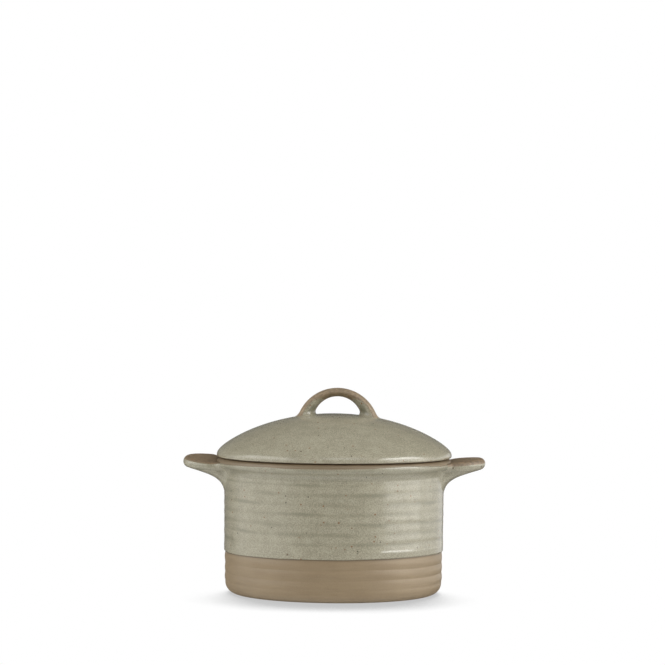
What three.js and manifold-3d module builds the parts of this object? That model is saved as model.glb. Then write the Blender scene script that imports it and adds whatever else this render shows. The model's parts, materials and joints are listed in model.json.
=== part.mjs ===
// A lidded stoneware cocotte: a straight pot with throwing rings, dipped in glaze down to a bare band,
// a lug handle luted to each side of the rim, and a domed lid with a loop handle and a locating flange.
// Millimetres, +Z up, origin at the centre of the foot, lugs along X.

import * as THREE from 'three';
import { mergeVertices } from 'three/addons/utils/BufferGeometryUtils.js';
import Module from 'manifold-3d';

const wasm = await Module();
wasm.setup();

// Pot: thrown clay wall, floor and foot
const potHeight = 74; // foot to the top of the rim
const wallRadius = 59.45; // outside of the wall below the rim, in the grooves of the throwing rings
const wallDraft = 0.6; // how much the wall draws in towards the foot
const wallThickness = 5.4;
const floorThickness = 6;
const heelRound = 6.2; // outside, wall to foot
const bowlRound = 8; // inside, wall to floor
const footWidth = 6; // flat ring that the pot stands on
const footRecess = 1.5; // underside raised inside the foot ring
const ringPitch = 5.25; // throwing rings
const ringRise = 0.4;

// Rim: a rounded lip that stands out over a hollow neck
const lipOverhang = 4.55; // lip beyond the wall
const lipRound = 2.6;
const neckRound = 5;
const rimEdgeRound = 1.2; // inside edge of the rim

// Glaze: one coat outside, one liner inside, both stopping short of the bare rim
const glazeThickness = 0.5;
const glazeGap = 0.05; // clay to glaze
const glazeRingRise = 0.3; // the coat softens the throwing rings
const glazeLine = 23.6; // lower edge of the outside coat above the foot
const glazeTopAngle = -4; // upper edge, round the lip, in degrees from level
const linerDrop = 2.4; // upper edge of the liner below the rim

// Lug handles: a shelf at the rim that runs down into the wall
const lugLength = 18.5; // nose beyond the lip
const lugHalfWidth = 17;
const lugRootHalfWidth = 13; // where the root runs down the wall
const lugFootHalfWidth = 5; // at the very foot of the root
const lugFootPower = 4; // how quickly the root widens above its foot
const lugRootDepth = 20.4; // top of the lug down to the foot of the root
const lugRootRun = 10.4; // how far the root follows the wall before it turns out
const lugUndercut = 12; // how far the straight underside runs back from the nose
const lugDrop = 0.6; // lug top below the rim, at the lip
const lugTilt = 0.06; // rise towards the nose, per mm
const lugNoseRound = 3.2;
const lugNoseAngle = -75; // where the underside meets the nose, in degrees from level
const lugSquareness = 2.4; // plan outline: 2 is an ellipse, more is squarer

// Lid: dome, edge and flange
const lidOverhang = 0.2; // edge beyond the lip
const lidEdgeRound = 1.1;
const lidRise = 22.6; // edge to crown
const lidFullness = 0.72; // dome power: 0.5 is an ellipse, more is flatter at the shoulder
const lidThickness = 5.2;
const lidSeatGap = 0.3; // lid seat above the rim
const flangeDepth = 6;
const flangeThickness = 4;
const flangeClearance = 1; // flange to the pot's liner
const flangeRound = 1.2;

// Loop handle: a strap between two arcs, flared where it meets the dome
const loopOffset = 1.6; // hand-set a little to the right of the crown
const loopOuterRadius = 22.8;
const loopInnerRadius = 13.2;
const loopHeight = 14.1; // crown of the dome to the top of the loop
const loopTopThickness = 4.4;
const loopTopWidth = 13; // across the strap, at the top
const loopFootWidth = 17;
const loopFlare = 2.2; // how much each foot spreads on the dome, inwards and to both sides
const loopFlareHeight = 1.6; // how quickly the flare dies out above the dome
const loopCrest = 1.8; // outer face above the strap's widest line
const loopSquareness = 2.4;

const luteGap = 0.3; // slip joint between a handle and what it is luted to

// Facets
const turnSteps = 48; // round the axis
const roundSteps = 5; // heel and lip
const hollowSteps = 4; // neck and bowl
const edgeSteps = 3; // small edges
const ringSteps = 3; // each throwing ring
const domeSteps = 13; // lid edge to crown
const undersideSteps = 8; // the same, under the lid
const lugSteps = 16; // round a lug's plan outline
const lugRootSteps = 8; // root to nose
const lugNoseSteps = 6; // round the nose
const loopSteps = 24; // along the loop
const strapSteps = 14; // round the strap

// Points on an arc about (r, z), in degrees from level on the outer side.
function arc(r, z, radius, from, to, steps) {
  return Array.from({ length: steps + 1 }, (_, i) => {
    const angle = THREE.MathUtils.degToRad(THREE.MathUtils.lerp(from, to, i / steps));
    return new THREE.Vector2(r + radius * Math.cos(angle), z + radius * Math.sin(angle));
  });
}

// A profile of (radius, height) turned about the pot's axis.
function revolve(profile) {
  return new THREE.LatheGeometry(profile, turnSteps).rotateX(Math.PI / 2);
}

// A closed skin over a stack of rings with equal point counts, capped at both ends.
function loft(rings) {
  const count = rings[0].length;
  const last = (rings.length - 1) * count;
  const faces = [];
  for (let start = 0; start < last; start += count) {
    for (let j = 0; j < count; j++) {
      const next = (j + 1) % count;
      faces.push(start + j, start + next, start + count + next);
      faces.push(start + j, start + count + next, start + count + j);
    }
  }
  for (let j = 1; j < count - 1; j++) {
    faces.push(0, j + 1, j);
    faces.push(last, last + j, last + j + 1);
  }
  return new THREE.BufferGeometry().setFromPoints(rings.flat()).setIndex(faces);
}

// A geometry as a solid that can be cut.
function solidOf(geometry) {
  const bare = geometry.clone();
  bare.deleteAttribute('normal');
  bare.deleteAttribute('uv');
  const merged = mergeVertices(bare);
  return new wasm.Manifold(new wasm.Mesh({
    numProp: 3,
    vertProperties: merged.attributes.position.array,
    triVerts: new Uint32Array(merged.index.array),
  }));
}

// A blank with each tool cut out of it.
function cut(blank, ...tools) {
  const solid = tools.reduce((left, tool) => left.subtract(solidOf(tool)), solidOf(blank));
  const { vertProperties, triVerts } = solid.getMesh();
  const geometry = new THREE.BufferGeometry();
  geometry.setAttribute('position', new THREE.BufferAttribute(vertProperties, 3));
  geometry.setIndex(new THREE.BufferAttribute(triVerts, 1));
  return geometry;
}

// An angle's sine or cosine drawn out towards the corners of a superellipse.
function squared(value, squareness) {
  return Math.sign(value) * Math.abs(value) ** (2 / squareness);
}

// The lip is an arc, and the neck an arc that is tangent to it and to the wall.
const lipRadius = wallRadius + lipOverhang;
const lipCentre = new THREE.Vector2(lipRadius - lipRound, potHeight - lipRound);
const neckReach = lipCentre.x - wallRadius - neckRound;
const neckCentre = new THREE.Vector2(
  wallRadius + neckRound,
  lipCentre.y - Math.sqrt((lipRound + neckRound) ** 2 - neckReach ** 2),
);
const neckTurn = THREE.MathUtils.radToDeg(lipCentre.clone().sub(neckCentre).angle());

// The wall leans in from the neck to the foot.
function wallAt(z) {
  return wallRadius - wallDraft * (neckCentre.y - z) / neckCentre.y;
}

// Throwing rings between two heights: round crests that meet in sharp grooves.
function thrownRings(from, to, offset, rise) {
  const count = Math.max(1, Math.round((to - from) / ringPitch)) * ringSteps;
  return Array.from({ length: count + 1 }, (_, i) => {
    const z = THREE.MathUtils.lerp(from, to, i / count);
    const crest = Math.abs(Math.sin(Math.PI * i / ringSteps));
    return new THREE.Vector2(wallAt(z) + offset + rise * crest, z);
  });
}

// Neck and lip at a distance outside the clay, up to an angle round the lip.
function neckAndLip(offset, topAngle) {
  const neck = arc(neckCentre.x, neckCentre.y, neckRound - offset, 180, neckTurn, hollowSteps);
  const lip = arc(lipCentre.x, lipCentre.y, lipRound + offset, neckTurn - 180, topAngle, roundSteps);
  return [...neck, ...lip.slice(1)];
}

// Bowl: the inside of the pot at a distance inside the clay, from the height of its edge to the floor.
const bowlRadius = wallRadius - wallThickness;
function bowl(inset, edge) {
  const round = bowlRound - inset;
  const floor = floorThickness + inset;
  const wall = bowlRadius - inset;
  return [
    new THREE.Vector2(wall, edge),
    ...arc(wall - round, floor + round, round, 0, -90, hollowSteps),
    new THREE.Vector2(0, floor),
  ];
}

function potBody() {
  const footRadius = wallAt(heelRound) - heelRound;
  const footInside = footRadius - footWidth;
  const rimEdge = potHeight - rimEdgeRound;
  return revolve([
    new THREE.Vector2(0, footRecess),
    new THREE.Vector2(footInside - footRecess, footRecess),
    new THREE.Vector2(footInside, 0),
    ...arc(footRadius, heelRound, heelRound, -90, 0, roundSteps),
    ...thrownRings(heelRound, glazeLine, 0, ringRise).slice(1),
    ...neckAndLip(0, 90),
    ...arc(bowlRadius + rimEdgeRound, rimEdge, rimEdgeRound, 90, 180, edgeSteps),
    ...bowl(0, rimEdge).slice(1),
  ]);
}

// The outside coat, before the lugs break through it.
function outerCoat() {
  const low = glazeLine + glazeGap;
  const outside = [
    ...thrownRings(low, neckCentre.y, glazeThickness, glazeRingRise),
    ...neckAndLip(glazeThickness, glazeTopAngle).slice(1),
  ];
  const inside = [
    new THREE.Vector2(wallAt(low) + glazeGap, low),
    ...neckAndLip(glazeGap, glazeTopAngle),
  ];
  return revolve([...outside, ...inside.reverse(), outside[0]]);
}

function linerCoat() {
  const edge = potHeight - linerDrop;
  const outside = bowl(glazeGap, edge);
  const inside = bowl(glazeGap + glazeThickness, edge);
  return revolve([...outside.reverse(), ...inside]);
}

// What a lug's root is trimmed to: the outside of the clay with the slip joint on it.
function potOutline() {
  const edge = neckAndLip(luteGap, 90);
  return revolve([
    new THREE.Vector2(0, 0),
    new THREE.Vector2(wallAt(0) + luteGap, 0),
    ...edge,
    new THREE.Vector2(0, edge.at(-1).y),
  ]);
}

// A lug before its root is trimmed: level slices that swell from the root out to the nose.
// Each slice is given as its reach, half width and height, stands out from the round of the wall by half
// a superellipse, and runs back into the wall.
const lugReach = lipRadius + lugLength;
function lugBlank(grow) {
  const top = potHeight - lugDrop;
  const noseReach = lugReach - lugNoseRound;
  const nose = arc(noseReach, top - lugNoseRound, lugNoseRound + grow, lugNoseAngle, 90, lugNoseSteps)
    .map((point) => new THREE.Vector3(point.x, lugHalfWidth + point.x - lugReach, point.y));
  const slope = THREE.MathUtils.degToRad(lugNoseAngle + 90);
  const rootReach = wallRadius + glazeThickness + glazeRingRise + grow;
  const root = new THREE.Vector3(rootReach, lugRootHalfWidth + grow, top - lugRootDepth - grow);
  const underside = new THREE.CubicBezierCurve3(
    root,
    root.clone().lerp(nose[0], 1 / 3).setX(root.x).setZ(root.z + lugRootRun),
    nose[0].clone().lerp(root, 1 / 3).setX(nose[0].x - lugUndercut * Math.cos(slope))
      .setZ(nose[0].z - lugUndercut * Math.sin(slope)),
    nose[0],
  );
  const flat = lugFootHalfWidth + grow;
  const rootAndUnderside = underside.getPoints(lugRootSteps).map((slice, i) => {
    const widened = 1 - (1 - i / lugRootSteps) ** lugFootPower;
    return slice.setY(Math.sqrt(THREE.MathUtils.lerp(flat ** 2, slice.y ** 2, widened)));
  });
  return loft([...rootAndUnderside, ...nose.slice(1)].map((slice) => {
    const wall = wallAt(slice.z);
    const side = Math.sqrt(wall ** 2 - slice.y ** 2) - wallThickness / 2;
    const outline = Array.from({ length: lugSteps + 1 }, (_, j) => {
      const turn = Math.PI * (j / lugSteps - 0.5);
      const y = slice.y * squared(Math.sin(turn), lugSquareness);
      const standing = (slice.x - wall) * squared(Math.cos(turn), lugSquareness);
      return new THREE.Vector2(Math.sqrt(wall ** 2 - y ** 2) + standing, y);
    });
    return [new THREE.Vector2(side, -slice.y), ...outline, new THREE.Vector2(side, slice.y)]
      .map(({ x, y }) => new THREE.Vector3(x, y, slice.z + lugTilt * (x - lipRadius)));
  }));
}

// Lid sizes, with the seat just clear of the rim
const lidRadius = lipRadius + lidOverhang;
const lidSeat = potHeight + lidSeatGap;
const lidEdge = lidSeat + lidEdgeRound;
const lidCrown = lidEdge + lidRise;
function domeAt(r) {
  return lidEdge + lidRise * (1 - (r / lidRadius) ** 2) ** lidFullness;
}

// The dome's outside at a height above the clay, from the edge to the crown, with close steps at the edge.
function domeProfile(raise, steps) {
  return Array.from({ length: steps + 1 }, (_, i) => {
    const r = lidRadius * Math.cos(Math.PI / 2 * i / steps);
    return new THREE.Vector2(r, domeAt(r) + raise);
  });
}

function lidDome() {
  const outside = bowlRadius - glazeGap - glazeThickness - flangeClearance;
  const inside = outside - flangeThickness;
  const bottom = lidSeat - flangeDepth;
  const underside = domeProfile(-lidThickness, undersideSteps).filter((point) => point.x < inside);
  return revolve([
    ...underside.reverse(),
    new THREE.Vector2(inside, domeAt(inside) - lidThickness),
    ...arc(inside + flangeRound, bottom + flangeRound, flangeRound, 180, 270, edgeSteps),
    ...arc(outside - flangeRound, bottom + flangeRound, flangeRound, -90, 0, edgeSteps),
    new THREE.Vector2(outside, lidSeat),
    ...arc(lidRadius - lidEdgeRound, lidEdge, lidEdgeRound, -90, 0, edgeSteps),
    ...domeProfile(0, domeSteps).slice(1),
  ]);
}

// What a loop's feet are trimmed to: the dome with the slip joint on it.
function domeOutline() {
  const dome = domeProfile(luteGap, domeSteps);
  return revolve([new THREE.Vector2(0, 0), new THREE.Vector2(lidRadius, 0), ...dome]);
}

// A point on one of the loop's arcs, at an angle from level.
function onLoopArc(radius, z, turn) {
  return new THREE.Vector3(loopOffset + radius * Math.cos(turn), 0, z + radius * Math.sin(turn));
}

// A loop before its feet are trimmed: oval sections that span the two arcs, from one foot to the other.
function loopBlank() {
  const top = lidCrown + loopHeight;
  const outerZ = top - loopOuterRadius;
  const innerZ = top - loopTopThickness - loopInnerRadius;
  const footDepth = lidThickness / 2;
  const foot = domeAt(loopOuterRadius + Math.abs(loopOffset)) - footDepth;
  const outerStart = Math.asin((foot - outerZ) / loopOuterRadius);
  const innerStart = Math.asin((foot - innerZ) / loopInnerRadius);
  const stations = Array.from({ length: loopSteps + 1 }, (_, i) => {
    const share = i / loopSteps;
    const outerTurn = THREE.MathUtils.lerp(outerStart, Math.PI - outerStart, share);
    const innerTurn = THREE.MathUtils.lerp(innerStart, Math.PI - innerStart, share);
    const outer = onLoopArc(loopOuterRadius, outerZ, outerTurn);
    const inner = onLoopArc(loopInnerRadius, innerZ, innerTurn);
    const across = outer.clone().sub(inner).normalize();
    const spine = outer.clone().addScaledVector(across, -loopCrest);
    const above = Math.max(0, spine.z - domeAt(Math.abs(spine.x)));
    const flare = loopFlare * Math.exp(-above / loopFlareHeight);
    const inward = inner.distanceTo(spine) + flare;
    const halfWidth = THREE.MathUtils.lerp(loopFootWidth, loopTopWidth, Math.sin(outerTurn)) / 2 + flare;
    return Array.from({ length: strapSteps }, (_, j) => {
      const turn = -2 * Math.PI * j / strapSteps;
      const depth = squared(Math.sin(turn), loopSquareness);
      const point = spine.clone().addScaledVector(across, depth * (depth > 0 ? loopCrest : inward));
      point.y = halfWidth * squared(Math.cos(turn), loopSquareness);
      return point;
    });
  });
  return loft(stations);
}

// Finishes, from the photograph
const bareClay = { color: 0x94826a, roughness: 0.75 };
const speckledGlaze = { color: 0xa09b87, roughness: 0.3 };

function piece(name, geometry, finish) {
  const mesh = new THREE.Mesh(geometry, new THREE.MeshStandardMaterial({ ...finish, metalness: 0 }));
  mesh.name = name;
  return mesh;
}

const lugGeometry = cut(lugBlank(0), potOutline());
const rightLug = piece('right_lug_handle', lugGeometry, speckledGlaze);
const leftLug = piece('left_lug_handle', lugGeometry, speckledGlaze);
leftLug.rotation.z = Math.PI;

const rightSocket = lugBlank(luteGap);
const leftSocket = rightSocket.clone().rotateZ(Math.PI);

const pot = new THREE.Group();
pot.add(
  piece('pot_body', potBody(), bareClay),
  piece('outer_glaze_coat', cut(outerCoat(), leftSocket, rightSocket), speckledGlaze),
  piece('liner_glaze_coat', linerCoat(), speckledGlaze),
  leftLug,
  rightLug,
);

const lid = new THREE.Group();
lid.add(
  piece('lid_dome', lidDome(), speckledGlaze),
  piece('lid_loop_handle', cut(loopBlank(), domeOutline()), speckledGlaze),
);

const cocotte = new THREE.Group();
cocotte.add(pot, lid);

export default cocotte;
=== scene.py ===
import json

import bpy
import numpy as np
from mathutils import Matrix, Vector

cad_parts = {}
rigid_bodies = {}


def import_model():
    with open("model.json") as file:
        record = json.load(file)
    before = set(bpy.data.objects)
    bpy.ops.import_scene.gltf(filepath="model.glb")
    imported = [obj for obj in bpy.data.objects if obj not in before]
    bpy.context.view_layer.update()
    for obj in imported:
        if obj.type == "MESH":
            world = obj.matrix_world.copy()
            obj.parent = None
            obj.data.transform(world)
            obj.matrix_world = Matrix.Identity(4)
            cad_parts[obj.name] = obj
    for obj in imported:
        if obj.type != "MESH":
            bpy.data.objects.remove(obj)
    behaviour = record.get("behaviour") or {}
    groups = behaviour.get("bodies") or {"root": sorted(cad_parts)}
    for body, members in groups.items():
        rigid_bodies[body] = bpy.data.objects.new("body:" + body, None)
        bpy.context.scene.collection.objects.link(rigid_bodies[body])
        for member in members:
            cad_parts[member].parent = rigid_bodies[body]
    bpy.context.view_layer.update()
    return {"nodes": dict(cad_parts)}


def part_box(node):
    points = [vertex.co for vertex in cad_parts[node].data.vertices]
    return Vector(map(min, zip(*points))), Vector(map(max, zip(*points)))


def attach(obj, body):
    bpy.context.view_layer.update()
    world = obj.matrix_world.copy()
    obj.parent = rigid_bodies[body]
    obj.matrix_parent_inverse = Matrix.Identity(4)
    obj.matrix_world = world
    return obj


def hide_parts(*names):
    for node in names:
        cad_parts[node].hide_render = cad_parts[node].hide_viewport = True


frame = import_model()
print("frame loaded:", ", ".join(sorted(frame["nodes"])))

# The scene is in metres and every size below is in millimetres.
mm = 0.001


def nodeBox(node):
    # lowest and highest corner of a node at rest, in millimetres
    low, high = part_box(node)
    return np.array(low) / mm, np.array(high) / mm


def arc(centreR, centreZ, radius, start, stop, count):
    # round a centre from one angle to another, in degrees from level on the outer side;
    # start and stop may be one value per column
    share = np.linspace(0, 1, count)[:, None]
    turn = np.radians(np.asarray(start) * (1 - share) + np.asarray(stop) * share)
    return centreR + radius * np.cos(turn), centreZ + radius * np.sin(turn)


def line(startR, startZ, stopR, stopZ, count):
    share = np.linspace(0, 1, count)[:, None]
    return startR + (stopR - startR) * share, startZ + (stopZ - startZ) * share


def smooth(value, low, high):
    # 0 below low, 1 above high, and an S-curve between
    share = np.clip((value - low) / (high - low), 0, 1)
    return share * share * (3 - 2 * share)


def fillet(away, radius):
    # how far a quarter-round spreads at a distance from the surface that it runs into
    short = radius - np.clip(away, 0, radius)
    return radius - np.sqrt(radius ** 2 - short ** 2)


def wander(turn, height, terms):
    # a slow wander round a piece and up it: a sum of cosines, each with its turns round the axis,
    # its rise in millimetres per radian, its phase and its size
    return sum(size * np.cos(turns * turn + height / rise + phase) for turns, rise, phase, size in terms)


def turned(stretches, columns):
    # stretches of (radius, height) joined end to end and carried round the axis
    turn = np.linspace(0, 2 * np.pi, columns, endpoint=False)
    radius = np.concatenate([np.broadcast_to(r, (len(r), columns)) for r, z in stretches])
    height = np.concatenate([np.broadcast_to(z, (len(z), columns)) for r, z in stretches])
    return np.stack([radius * np.cos(turn), radius * np.sin(turn), height], axis=-1)


def pieceFromGrid(name, points, depth, wrapRows=False):
    # rows of points, each row a closed ring, become quads; the end rows are closed by a fan to their
    # middle, or joined to each other where the rows wrap; depth is the glaze over each point, 1 a full coat
    rows, columns = points.shape[:2]
    index = np.arange(rows * columns).reshape(rows, columns)
    lower = index if wrapRows else index[:-1]
    upper = np.roll(index, -1, axis=0) if wrapRows else index[1:]
    nextLower, nextUpper = np.roll(lower, -1, axis=1), np.roll(upper, -1, axis=1)
    quads = np.stack([lower, nextLower, nextUpper, upper], axis=-1).reshape(-1, 4)
    corners = points.reshape(-1, 3)
    depths = np.broadcast_to(depth, (rows, columns)).reshape(-1)
    fans = np.empty((0, 3), int)
    if not wrapRows:
        first, last = len(corners), len(corners) + 1
        corners = np.concatenate([corners, points[:1].mean(axis=1), points[-1:].mean(axis=1)])
        depths = np.concatenate([depths, depths[:1], depths[-1:]])
        start, stop = index[0], index[-1]
        fans = np.concatenate([
            np.stack([np.roll(start, -1), start, np.full(columns, first)], axis=-1),
            np.stack([stop, np.roll(stop, -1), np.full(columns, last)], axis=-1)])
    triangles = np.concatenate([quads[:, [0, 1, 2]], quads[:, [0, 2, 3]], fans])
    a, b, c = (corners[triangles[:, k]] for k in range(3))
    if np.einsum("ij,ij->", a, np.cross(b, c)) < 0:  # the volume is negative where faces point inwards
        quads, fans = quads[:, ::-1], fans[:, ::-1]

    mesh = bpy.data.meshes.new(name)
    mesh.vertices.add(len(corners))
    mesh.vertices.foreach_set("co", (corners * mm).astype(np.float32).ravel())
    loops = np.concatenate([quads.ravel(), fans.ravel()])
    starts = np.concatenate([np.arange(len(quads)) * 4, len(quads) * 4 + np.arange(len(fans)) * 3])
    mesh.loops.add(len(loops))
    mesh.loops.foreach_set("vertex_index", loops.astype(np.int32))
    mesh.polygons.add(len(starts))
    mesh.polygons.foreach_set("loop_start", starts.astype(np.int32))
    mesh.polygons.foreach_set("use_smooth", np.ones(len(starts), bool))
    attribute = mesh.attributes.new("glazeDepth", "FLOAT", "POINT")
    attribute.data.foreach_set("value", depths.astype(np.float32))
    mesh.update(calc_edges=True)
    mesh.validate()
    piece = bpy.data.objects.new(name, mesh)
    bpy.context.collection.objects.link(piece)
    return piece


axisHole = 0.5  # radius of the hole on the axis that a fan closes
outOfRound = (20.0, 50.0)  # radii between which the wander of a turned piece grows to its full size

# Pot: sizes that the frame gives, then the ones that it doesn't show by a box
potLow, potHigh = nodeBox("pot_body")
coatBottom = nodeBox("outer_glaze_coat")[0][2]

pot = dict(
    lipRadius=potHigh[0],
    rimTop=potHigh[2],
    lipOverhang=4.55,
    lipRound=2.6,
    neckRound=5.0,
    wallDraft=0.6,
    wallThickness=5.4,
    floorThickness=6.0,
    rimEdgeRound=1.2,
    heelRound=6.2,
    bowlRound=8.0,
    footWidth=6.0,
    footRecess=1.5,
    footEdgeRound=0.5,
    bandGap=0.2,  # how far plain stretches keep from the band, from the rim's rounds and from the bowl's
    rimGap=0.8,
    bowlGap=1.0,
    ringPitch=5.38,
    ringRise=0.3,
    ringStart=-0.8,  # a groove of the bare band, from the bottom of the solid coat
    ringSharpness=0.55,  # 1 is a plain wave, and less narrows the grooves
    ringSetIn=2.0,  # height above the heel over which the rings grow
    ringDrift=[(1, 7.0, 0.4, 0.3), (2, 4.5, 2.1, 0.2), (5, 9.0, 1.0, 0.12), (8, 6.0, 3.3, 0.07)],
    ringFade=[(1, 2.3, 0.0, 0.24), (3, 1.7, 1.7, 0.2), (4, 3.1, 4.0, 0.18), (7, 2.6, 2.4, 0.12)],
    wobble=[(2, 70.0, 0.9, 0.12), (3, 45.0, 2.6, 0.07), (5, 30.0, 5.1, 0.03)],
    glazeLine=coatBottom - 0.35,  # the glaze runs down a little past the solid coat
    glazeWander=[(1, 1e9, 0.3, 0.18), (2, 1e9, 1.9, 0.14), (5, 1e9, 4.0, 0.07), (11, 1e9, 0.8, 0.03)],
    flashAndShade=1.7,  # the clay is darker just below the glaze line, strongest at the front: partly iron flashing, partly painted shade under the glaze's lower edge
    flashAndShadeReach=0.6,
    flashAndShadeFade=[(1, 1e9, 1.57, 0.3), (6, 1e9, 0.4, 0.12)],
    bandRows=72,
    columns=288,
)
wallRadius = pot["lipRadius"] - pot["lipOverhang"]
bowlRadius = wallRadius - pot["wallThickness"]
lipCentre = np.array([pot["lipRadius"] - pot["lipRound"], pot["rimTop"] - pot["lipRound"]])
neckToLip = pot["lipRound"] + pot["neckRound"]
neckR = wallRadius + pot["neckRound"]
neckZ = lipCentre[1] - np.sqrt(neckToLip ** 2 - (lipCentre[0] - neckR) ** 2)
neckTurn = np.degrees(np.arctan2(lipCentre[1] - neckZ, lipCentre[0] - neckR))


def wallAt(height):
    # the clay wall leans in steadily from the neck to the foot
    return wallRadius - pot["wallDraft"] * (neckZ - height) / neckZ


def glazeEdge(turn):
    # height of the glaze line round the pot
    return pot["glazeLine"] + wander(turn, 0, pot["glazeWander"])


def throwingRings(turn, height, start, sharpness):
    # one crest for each pitch of height, a squared sine raised to a power that narrows its grooves,
    # with grooves that drift up and down and crests that grow and fade round the pot
    phase = (height - start + wander(turn, height, pot["ringDrift"])) / pot["ringPitch"]
    crest = (np.sin(np.pi * phase) ** 2) ** sharpness
    return crest * (1 + wander(turn, height, pot["ringFade"]))


def potOutside(height):
    # radius of the outside of the clay at a height: wall, then the hollow of the neck, then the lip
    neck = neckR - np.sqrt(np.maximum(pot["neckRound"] ** 2 - (height - neckZ) ** 2, 0))
    lip = lipCentre[0] + np.sqrt(np.maximum(pot["lipRound"] ** 2 - (height - lipCentre[1]) ** 2, 0))
    touch = neckZ + pot["neckRound"] * np.sin(np.radians(neckTurn))
    return np.where(height < neckZ, wallAt(height), np.where(height < touch, neck, lip))


def makePotBody():
    # a profile carried round the axis: foot ring, heel, bare wall with throwing rings, plain wall under
    # the glaze, neck, lip, rim and bowl
    columns = pot["columns"]
    turn = np.linspace(0, 2 * np.pi, columns, endpoint=False)
    footRadius = wallAt(pot["heelRound"]) - pot["heelRound"]
    footInside = footRadius - pot["footWidth"]
    footEdge = pot["footEdgeRound"]
    bandZ = np.linspace(pot["heelRound"], coatBottom, pot["bandRows"])[1:, None]
    rings = throwingRings(turn, bandZ, coatBottom + pot["ringStart"], pot["ringSharpness"])
    setIn = smooth(bandZ, pot["heelRound"], pot["heelRound"] + pot["ringSetIn"])
    band = wallAt(bandZ) + pot["ringRise"] * rings * setIn
    rimEdgeR = bowlRadius + pot["rimEdgeRound"]
    rimEdgeZ = pot["rimTop"] - pot["rimEdgeRound"]
    bowlCentre = bowlRadius - pot["bowlRound"]
    floor = pot["floorThickness"]
    bowlZ = floor + pot["bowlRound"]
    rimGap, bowlGap = pot["rimGap"], pot["bowlGap"]
    points = turned([
        line(axisHole, pot["footRecess"], footInside - pot["footRecess"], pot["footRecess"], 10),
        arc(footInside - footEdge, footEdge, footEdge, 200, 270, 4),
        arc(footRadius, pot["heelRound"], pot["heelRound"], -90, 0, 18),
        (band, np.broadcast_to(bandZ, band.shape)),
        line(wallAt(coatBottom), coatBottom + pot["bandGap"], wallRadius, neckZ, 8),
        arc(neckR, neckZ, pot["neckRound"], 180, neckTurn, 10),
        arc(lipCentre[0], lipCentre[1], pot["lipRound"], neckTurn - 180, 90, 30),
        line(lipCentre[0] - rimGap, pot["rimTop"], rimEdgeR + rimGap, pot["rimTop"], 5),
        arc(rimEdgeR, rimEdgeZ, pot["rimEdgeRound"], 90, 180, 10),
        line(bowlRadius, rimEdgeZ - bowlGap, bowlRadius, bowlZ + bowlGap, 8),
        arc(bowlCentre, bowlZ, pot["bowlRound"], 0, -90, 10),
        line(bowlCentre - bowlGap, floor, axisHole, floor, 8),
    ], columns)
    # the clay darkens towards the top of the lip
    darkened = smooth(points[..., 2], neckZ, lipCentre[1])
    below = np.maximum(glazeEdge(turn) - points[..., 2], 0)
    # painted shade in part: the clay darkens just below the glaze's lower edge, most at the front, as iron
    # flashing and as the shade under that edge
    flashedAndShaded = pot["flashAndShade"] * (1 + wander(turn, 0, pot["flashAndShadeFade"])) * np.exp(-below / pot["flashAndShadeReach"])
    depth = -np.where(points[..., 2] < neckZ, flashedAndShaded, darkened)
    return pieceFromGrid("potBody", swollen(points, pot["wobble"]), depth)


def swollen(points, terms):
    # pushes points out from the axis or in by a slow wander, as a turned piece goes slightly out of round
    radius = np.maximum(np.hypot(points[..., 0], points[..., 1]), 1e-6)
    turn = np.arctan2(points[..., 1], points[..., 0])
    share = smooth(radius, *outOfRound)
    grown = 1 + share * wander(turn, points[..., 2], terms) / radius
    return points * np.stack([grown, grown, np.ones_like(grown)], axis=-1)


potBody = makePotBody()
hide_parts("pot_body")
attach(potBody, "pot")
print("pot body:", len(potBody.data.polygons), "faces")

coat = dict(
    thickness=0.5,
    ringRise=0.105,
    ringStart=2.2,  # a groove, from the glaze line
    ringSharpness=1.0,
    pool=0.44,  # how much deeper the glaze lies in the grooves, and how unevenly
    streaks=[(3, 2.0, 0.5, 0.16), (7, 1.3, 2.2, 0.14), (13, 2.4, 4.1, 0.12)],
    roll=0.8,  # height of the rounded lower edge
    bead=0.14,  # how much the glaze swells above its lower edge, where, and how widely above and below
    beadRise=3.2,
    beadWidth=0.9,
    beadSkirt=3.0,
    beadLobes=[(-0.93, 0.42)],  # turns at which it swells more, and how much
    sunk=0.15,  # how far the hidden side lies inside the clay
    topAngle=2.0,  # how far up the round of the lip the glaze ends
    topWander=[(4, 1e9, 2.6, 3.0), (9, 1e9, 1.1, 1.5), (17, 1e9, 5.0, 1.0)],
    topLobes=[(-0.96, 23.0), (0.75, 14.0), (2.3, 18.0)],  # turns at which it runs higher, and how much
    lobeSharpness=17.0,
    ringFadeOut=2.0,  # height below the neck over which the rings die out
    poolHeight=(2.0, 9.0),  # heights above the lower edge between which the pooling sets in
    streakMean=0.7,
    streakMost=1.2,
    thinFrom=0.55,  # share of the way round the lip from which the coat thins, and what is left of it
    thinnest=0.02,
    depthWall=0.95,
    depthNeck=1.2,
    depthLip=1.25,
    depthLost=0.85,  # at the top edge, and from which share of the way round the lip
    lostFrom=0.85,
    depthBack=1.0,
    edgeRows=12,
    wallRows=150,
    neckRows=18,
    lipRows=22,
    columns=360,
)


def lobes(turn, places):
    # swellings round the pot, each largest at its own turn and dying out as the exponential of a cosine
    return sum(size * np.exp(coat["lobeSharpness"] * (np.cos(turn - at) - 1)) for at, size in places)


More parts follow.
